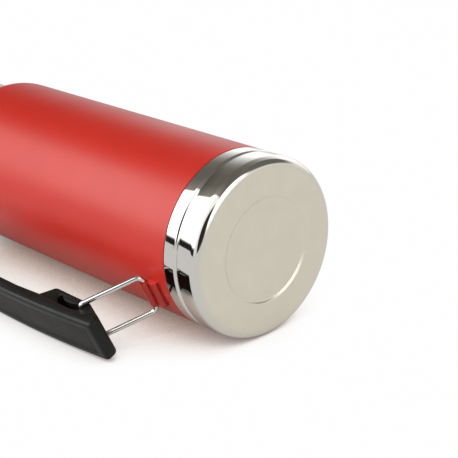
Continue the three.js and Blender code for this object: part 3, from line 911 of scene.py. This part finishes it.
def table_material():
    """A glowing white table, with painted shadow where the flask or its handle is close above it and
    painted red bounce by the red coat.

    It is clear from behind, so that it hides nothing in other views.
    """
    nodes = Nodes("table_white_painted_shade")
    # Painted shadow: ambient occlusion picks the table's colour from TABLE_SHADE, in place of light that
    # the flask would block.
    occlusion = nodes.add("ShaderNodeAmbientOcclusion", {"Distance": TABLE_SHADE_REACH}, samples=16)
    # Painted shade in reflections: glossy rays see the table darker and more shaded.
    in_mirror = nodes.add("ShaderNodeLightPath").outputs["Is Glossy Ray"]
    shaded = nodes.math("SUBTRACT", 1, nodes.math("MULTIPLY", in_mirror, MIRROR_SHADE))
    openness = nodes.math("MULTIPLY", occlusion.outputs["AO"], shaded)
    ramp = nodes.add("ShaderNodeValToRGB", {0: openness})
    elements = ramp.color_ramp.elements
    for i, (position, *colour) in enumerate(TABLE_SHADE):
        element = elements[i] if i < 2 else elements.new(position)
        element.position = position
        element.color = (*colour, 1)
    # Painted red bounce: the shade keeps its warm tones along the red coat near the body, and turns grey
    # by the base cup, past the shoulder and towards the handle.
    height = nodes.axes()[2]
    red_bounce_along_coat = nodes.math(
        "MINIMUM", nodes.ranged(height, 0.35, 1, -10 * MM, 50 * MM),
        nodes.ranged(height, 1, 0.2, 230 * MM, 270 * MM))
    red_bounce_near_body = nodes.ranged(nodes.radius(), 1, 0.2, 75 * MM, 100 * MM)
    painted_red_bounce = nodes.math("MINIMUM", red_bounce_along_coat, red_bounce_near_body)
    dimmed = nodes.math("SUBTRACT", 1, nodes.math("MULTIPLY", in_mirror, MIRROR_DIMMING))
    tint = {"Saturation": painted_red_bounce, "Value": dimmed, "Color": ramp.outputs[0]}
    colour = nodes.add("ShaderNodeHueSaturation", tint).outputs[0]
    strength = nodes.ranged(nodes.noise(3), 0.99, 1.0)
    # The table glows with its painted shade and bounce; no lamp lights it.
    glow_with_painted_shade = nodes.add("ShaderNodeEmission", {"Color": colour, "Strength": strength}).outputs[0]
    clear = nodes.add("ShaderNodeBsdfTransparent").outputs[0]
    behind = nodes.add("ShaderNodeNewGeometry").outputs["Backfacing"]
    mix = nodes.add("ShaderNodeMixShader", {0: behind, 1: glow_with_painted_shade, 2: clear})
    nodes.tree.links.new(mix.outputs[0], nodes.tree.nodes["Material Output"].inputs["Surface"])
    return nodes.material


def add_table():
    """The table that the flask lies on, tangent to its body."""
    half, gap = 3.0, 0.1 * MM
    side = TABLE_OUT.cross(Vector((0, 0, 1))).normalized()
    middle = TABLE_OUT * (BODY_RADIUS * MM + gap)
    corners = [middle + side * a * half + Vector((0, 0, b * half)) for a, b in
               ((-1, -1), (1, -1), (1, 1), (-1, 1))]
    mesh = bpy.data.meshes.new("table")
    mesh.from_pydata(corners, [], [(0, 1, 2, 3)])
    if mesh.polygons[0].normal.dot(TABLE_OUT) > 0:
        mesh.flip_normals()
    mesh.materials.append(table_material())
    table = bpy.data.objects.new("table", mesh)
    bpy.context.scene.collection.objects.link(table)
    table.visible_diffuse = False
    table.visible_shadow = False


# Brightness round the flask, by compass angle in degrees about its axis: softboxes and black flags.
STUDIO = [
    (-180, 1.6, 1.6, 1.6), (-130, 0.8, 0.8, 0.8), (-110, 0.35, 0.35, 0.35), (-46, 0.2, 0.19, 0.18),
    (-40, 0.025, 0.022, 0.02), (-15, 0.025, 0.022, 0.02), (-9, 1.2, 1.12, 1.02),
    (17, 1.2, 1.12, 1.02), (20, 0.02, 0.02, 0.02), (29, 0.02, 0.02, 0.02), (34, 5, 5, 5),
    (87, 5, 5, 5), (91, 0.36, 0.34, 0.31), (98, 0.26, 0.245, 0.22), (108, 0.17, 0.16, 0.14),
    (125, 0.16, 0.15, 0.13), (140, 0.21, 0.20, 0.18), (150, 0.35, 0.34, 0.32),
    (160, 0.65, 0.65, 0.65), (170, 1.1, 1.1, 1.1), (180, 1.6, 1.6, 1.6),
]
STUDIO_PEAK = 5
STUDIO_FADE = (0.72, 0.86, 0.15)  # it dims between these heights, to this part of its brightness
STUDIO_FOOT = (-0.12, -0.82)  # its low edge, to the right of the flask's dark side and to the left
STUDIO_TURN = (math.radians(88), math.radians(96))  # the compass angles where the low edge changes
STUDIO_BLEND = 0.12  # height over which it comes in above its low edge
ROOM = (-0.3, 0.3, 0.5, 1.3)  # two levels above the table's plane, and the brightness at each

# Patches over it: compass angle, height, cosines of the outer and inner edges, brightness.
# They are the dark camera, a dark flag overhead and a lamp behind the camera.
PATCHES = [(46, -0.82, 0.87, 0.94, 0.03), (165, -0.5, 0.86, 0.95, 0.16), (130, -0.93, 0.91, 0.95, 2.1)]


def add_world():
    """A white room that holds the softboxes and flags in the band that the flask's wall reflects."""
    world = bpy.data.worlds.new("studio")
    bpy.context.scene.world = world
    world.use_nodes = True
    tree = world.node_tree
    back = tree.nodes["Background"]

    def add(kind, inputs, output=0, **settings):
        node = tree.nodes.new(kind)
        for key, value in settings.items():
            setattr(node, key, value)
        for key, value in inputs.items():
            if isinstance(value, bpy.types.NodeSocket):
                tree.links.new(value, node.inputs[key])
            else:
                node.inputs[key].default_value = value
        return node.outputs[output]

    direction = add("ShaderNodeTexCoord", {}, "Generated")
    axes = [add("ShaderNodeSeparateXYZ", {0: direction}, k) for k in range(3)]
    azimuth = add("ShaderNodeMath", {0: axes[1], 1: axes[0]}, operation="ARCTAN2")
    turn = add("ShaderNodeMapRange", {0: azimuth, 1: -math.pi, 2: math.pi, 3: 0, 4: 1})
    ramp = tree.nodes.new("ShaderNodeValToRGB")
    tree.links.new(turn, ramp.inputs[0])
    elements = ramp.color_ramp.elements
    for i, (angle, *colour) in enumerate(STUDIO):
        position = (angle + 180) / 360
        element = elements[i] if i < 2 else elements.new(position)
        element.position = position
        element.color = (*(c / STUDIO_PEAK for c in colour), 1)
    fade_start, fade_end, faded = STUDIO_FADE
    fade = add("ShaderNodeMapRange", {
        0: axes[2], 1: fade_start, 2: fade_end, 3: STUDIO_PEAK, 4: faded * STUDIO_PEAK})
    ring = add("ShaderNodeVectorMath", {0: ramp.outputs[0], "Scale": fade}, operation="SCALE")
    low_edge = add("ShaderNodeMapRange", {
        0: azimuth, 1: STUDIO_TURN[0], 2: STUDIO_TURN[1], 3: STUDIO_FOOT[0], 4: STUDIO_FOOT[1]})
    above = add("ShaderNodeMath", {0: axes[2], 1: low_edge}, operation="SUBTRACT")
    rise = add("ShaderNodeMapRange", {0: above, 1: 0, 2: STUDIO_BLEND, 3: 0, 4: 1},
               interpolation_type="SMOOTHSTEP")
    over_table = add("ShaderNodeVectorMath", {0: direction, 1: -TABLE_OUT}, 1, operation="DOT_PRODUCT")
    low, high, dim, bright = ROOM
    plain = add("ShaderNodeMapRange", {0: over_table, 1: low, 2: high, 3: dim, 4: bright})
    room = add("ShaderNodeMix", {0: rise, 6: plain, 7: ring}, 2, data_type="RGBA")
    for angle, height, outer, inner, brightness in PATCHES:
        level = math.sqrt(1 - height ** 2)
        turned = math.radians(angle)
        middle = (level * math.cos(turned), level * math.sin(turned), height)
        towards = add("ShaderNodeVectorMath", {0: direction, 1: middle}, 1, operation="DOT_PRODUCT")
        cover = add("ShaderNodeMapRange", {0: towards, 1: outer, 2: inner, 3: 0, 4: 1},
                    interpolation_type="SMOOTHSTEP")
        shade = (brightness, brightness, brightness, 1)
        room = add("ShaderNodeMix", {0: cover, 6: room, 7: shade}, 2, data_type="RGBA")
    seen = add("ShaderNodeLightPath", {}, "Is Camera Ray")
    final = add("ShaderNodeMix", {0: seen, 6: room, 7: (1, 1, 1, 1)}, 2, data_type="RGBA")
    tree.links.new(final, back.inputs["Color"])


def finish_getter():
    """The getter keeps its CAD mesh, a plain pill, and gets a material."""
    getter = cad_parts["getter"].data
    getter.materials.clear()
    getter.materials.append(MATERIALS["solder"])


def main():
    add_camera()
    add_world()
    add_table()
    add_shells()
    add_cup()
    add_stopper()
    add_handle()
    finish_getter()
    bpy.context.scene.view_settings.view_transform = "Standard"


main()
